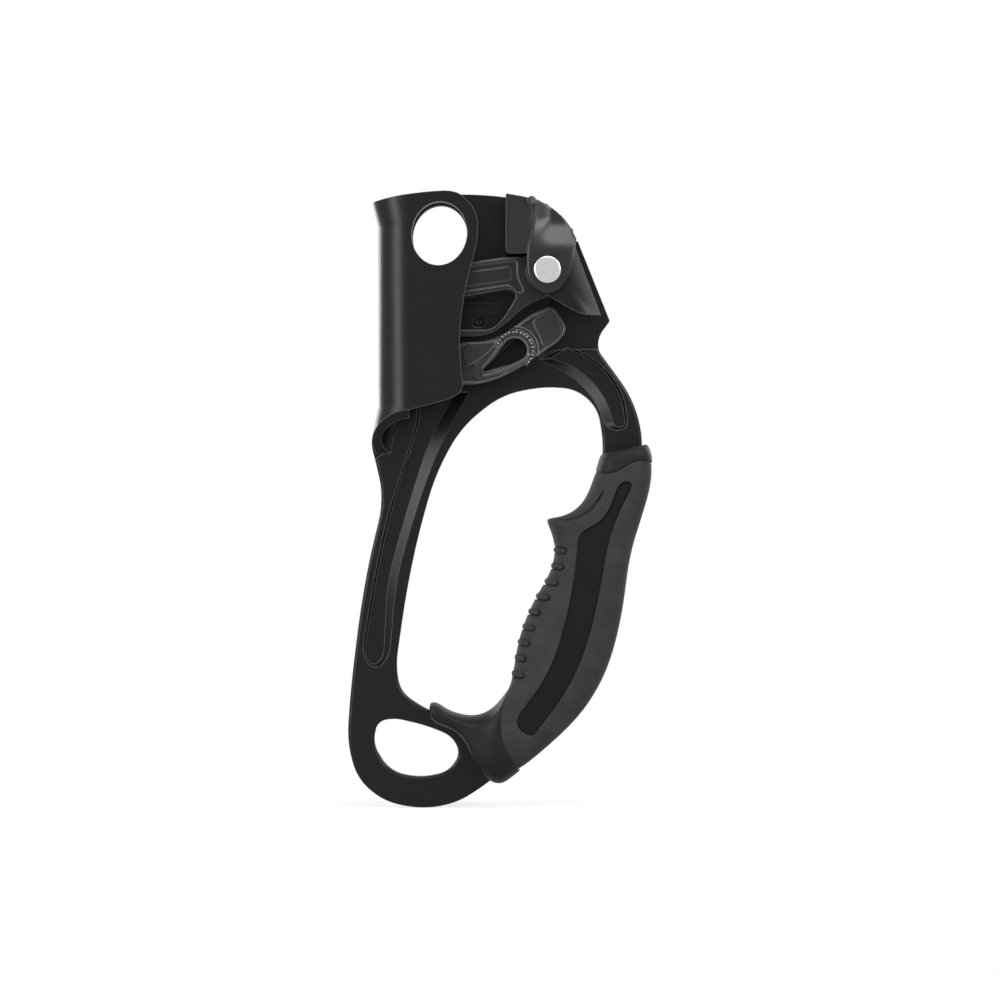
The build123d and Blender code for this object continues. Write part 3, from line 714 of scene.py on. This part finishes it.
def moulding(name, lines, material):
    """A body drawn out through its sections, with rounded ends."""
    bm = bmesh.new()
    ring = bmesh.ops.create_circle(bm, segments=RING_POINTS, radius=1)["verts"]
    for count, line in enumerate(lines):
        if count:
            ring = drawn_out(bm, ring)
        for i, v in enumerate(ring):
            v.co = across(line, 2 * math.pi * i / RING_POINTS)
    caps = bmesh.ops.holes_fill(bm, edges=[e for e in bm.edges if e.is_boundary])["faces"]
    bmesh.ops.inset_individual(bm, faces=caps, thickness=END_INSET * MM)
    return subdivided(fresh_piece(name, bm, material))


def strip(name, lines, y_front, y_back, edge, material=None, slot=None):
    """A curved strip between two depths, drawn along the lines across it, with its front edge rounded."""
    bm = bmesh.new()
    rungs = [[bm.verts.new(Vector((x, y_back, z)) * MM) for x, z in line] for line in lines]
    faces = [bm.faces.new((a[0], a[1], b[1], b[0])) for a, b in zip(rungs, rungs[1:])]
    made = bmesh.ops.extrude_face_region(bm, geom=faces, use_keep_orig=True)["geom"]
    bmesh.ops.translate(bm, verts=[g for g in made if isinstance(g, bmesh.types.BMVert)],
                        vec=(0, (y_front - y_back) * MM, 0))
    tops = [g for g in made if isinstance(g, bmesh.types.BMFace)
            and all(abs(v.co.y - y_front * MM) < FLAT * MM for v in g.verts)]
    bmesh.ops.inset_region(bm, faces=tops, thickness=edge * MM, use_even_offset=True)
    return subdivided(fresh_piece(name, bm, material))


def rib_path(tree, end, out):
    """Points along one finger rib, from its end on the front round the finger side to the back."""
    end_x, end_z = end
    centre = Vector((end_x + RIB_CENTRE, (GRIP_FRONT + GRIP_BACK) / 2, end_z)) * MM
    first, last = RIB_SWEEP
    points = []
    for step in range(RIB_POINTS):
        turn = math.radians(first + step * (last - first) / (RIB_POINTS - 1))
        direction = Vector((-math.sin(turn), -math.cos(turn), RIB_RISE * math.sin(turn))).normalized()
        hit = tree.ray_cast(centre, direction)[0]
        if hit:
            points.append(hit + direction * out * MM)
    return points


def rib_bars(name, tree, out, radius, material=None):
    """Bars along all the finger ribs, with their middle lines so far out of the rubber."""
    paths = [rib_path(tree, end, out) for end in RIB_ENDS]
    return joined(name, [round_cord("bar", path, [radius * MM] * len(path)) for path in paths], material)


def seam_waved(piece):
    """Bends the collar's lower seam into its S."""
    start_x, start_z = SEAM_START
    for v in piece.data.vertices:
        x, z = v.co.x / MM, v.co.z / MM
        along = (x - start_x) / SEAM_WIDTH
        from_seam = z - (start_z + SEAM_RISE * along)
        wave = math.sin(2 * math.pi * limited(along)) * math.exp(-(from_seam / SEAM_REACH) ** 2)
        v.co.z -= SEAM_WAVE * wave * MM


def crease_cord(tree):
    """The thin cord that presses the crease under the horn into the front of the rubber."""
    backwards = Vector((0, 1, 0))
    hits = [tree.ray_cast(Vector((x, AHEAD, z)) * MM, backwards)[0] for x, z in CREASE]
    return round_cord("crease", [hit + backwards * CREASE_SINK * MM for hit in hits],
                      [radius * MM for radius in CREASE_RADII])


def grip():
    """The grip's rubber with its ribs, the inlay, the collar and the finger guard."""
    rubber = matt_rubber("grip_rubber", 0.017)
    body = moulding("grip_rubber_body", RUBBER_ACROSS, rubber)
    seam_waved(body)
    tree = surface_tree(body.data)
    for cutter in (strip("pocket", INLAY_ACROSS, *POCKET_DEPTHS),
                   rib_bars("finger_channels", tree, CHANNEL_OUT, CHANNEL_R),
                   crease_cord(tree)):
        cut(body, cutter)
    body.data.polygons.foreach_set("use_smooth", [True] * len(body.data.polygons))
    ribs = rib_bars("grip_ribs", tree, RIB_OUT, RIB_R, rubber)

    core = moulded_plastic("inlay_plastic", 0.0015, 0.45)
    inlay = strip("grip_inlay", INLAY_ACROSS, *INLAY_DEPTHS, core, "core_plastic")
    collar = moulding("grip_collar", COLLAR_ACROSS, moulded_plastic("collar_finish", 0.006, 0.5))
    seam_waved(collar)
    guard = moulding("finger_hook", GUARD_ACROSS, moulded_plastic("guard_finish", 0.005, 0.45))

    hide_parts("grip_overmould")
    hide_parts("grip_front_pad")
    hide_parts("grip_core")
    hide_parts("grip_upper_collar")
    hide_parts("finger_guard")
    for piece in (body, ribs, inlay, collar, guard):
        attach(piece, "frame_body")


# The studio, in metres

WORLD_LIGHT = 0.4
FLOOR_REACH = 1.5
FLOOR_PAPER = (0.86, 0.86, 0.86, 1)
FLOOR_GLOW, GLOW_GROWS = 0.72, (0.12, 0.45)  # the floor's own glow at the object, and where it rises to full
SOFT_BOXES = (
    # name, place from the object's middle, width, height, radiance
    ("left_box", (-0.67, -0.55, 0.18), 0.22, 1.0, 13.0),
    ("right_box", (0.60, -0.52, 0.40), 0.22, 0.7, 13.0),
    ("top_box", (0.10, -0.50, 0.75), 0.7, 0.20, 12.0),
    ("back_left_box", (-0.6, 0.7, 0.2), 0.25, 0.8, 5.0),
    ("back_right_box", (0.6, 0.7, 0.3), 0.25, 0.8, 5.0),
)
CAMERA_PLACE = (0.0286, -1.19, -0.0724)
LENS, SENSOR = 135, 36  # of the camera, in mm


def surroundings():
    """White to the rays that see the background, and a plain light to the rest."""
    w = Recipe("surroundings", "World")
    lit = w.node("ShaderNodeBackground", {}, WHITE, WORLD_LIGHT)
    seen = w.node("ShaderNodeBackground", {}, WHITE, 1.0)
    return w.shown(w.node("ShaderNodeMixShader", {}, w.background_rays(), lit, seen))


def pale_floor():
    """Near white by itself, and around the object it takes the object's shadow."""
    m = Recipe("pale_floor")
    away = m.vector_math("LENGTH", m.place, output="Value")
    glowing = FLOOR_GLOW + (1 - FLOOR_GLOW) * away.step(*GLOW_GROWS)
    paper = m.node("ShaderNodeBsdfDiffuse", {}, FLOOR_PAPER)
    glow = m.node("ShaderNodeEmission", {}, WHITE, 1.0)
    return m.shown(m.node("ShaderNodeMixShader", {}, m.background_rays() * glowing, paper, glow))


def studio():
    """Pale floor, white surroundings, soft boxes at both sides and above, and the camera."""
    scene = bpy.context.scene
    scene.world = surroundings()

    bm = bmesh.new()
    bmesh.ops.create_grid(bm, x_segments=1, y_segments=1, size=FLOOR_REACH)
    mesh = bpy.data.meshes.new("floor")
    bm.to_mesh(mesh)
    bm.free()
    mesh.materials.append(pale_floor())
    floor = bpy.data.objects.new("floor", mesh)
    floor.location = (0, 0, low[2])
    scene.collection.objects.link(floor)

    middle = Vector(((low[0] + high[0]) / 2, 0, (low[2] + high[2]) / 2))
    for name, place, width, height, radiance in SOFT_BOXES:
        lamp = bpy.data.lights.new(name, "AREA")
        lamp.shape = "RECTANGLE"
        lamp.size, lamp.size_y, lamp.energy = width, height, radiance * math.pi * width * height
        box = bpy.data.objects.new(name, lamp)
        box.location = middle + Vector(place)
        box.rotation_euler = (middle - box.location).to_track_quat("-Z", "Z").to_euler()
        scene.collection.objects.link(box)

    lens = bpy.data.cameras.new("camera")
    lens.lens, lens.sensor_width = LENS, SENSOR
    camera = bpy.data.objects.new("camera", lens)
    camera.location = CAMERA_PLACE
    camera.rotation_euler = (math.radians(90), 0, 0)
    scene.collection.objects.link(camera)
    scene.camera = camera
    scene.view_settings.view_transform = "Standard"


mechanism()
head()
relief()
grip()
studio()
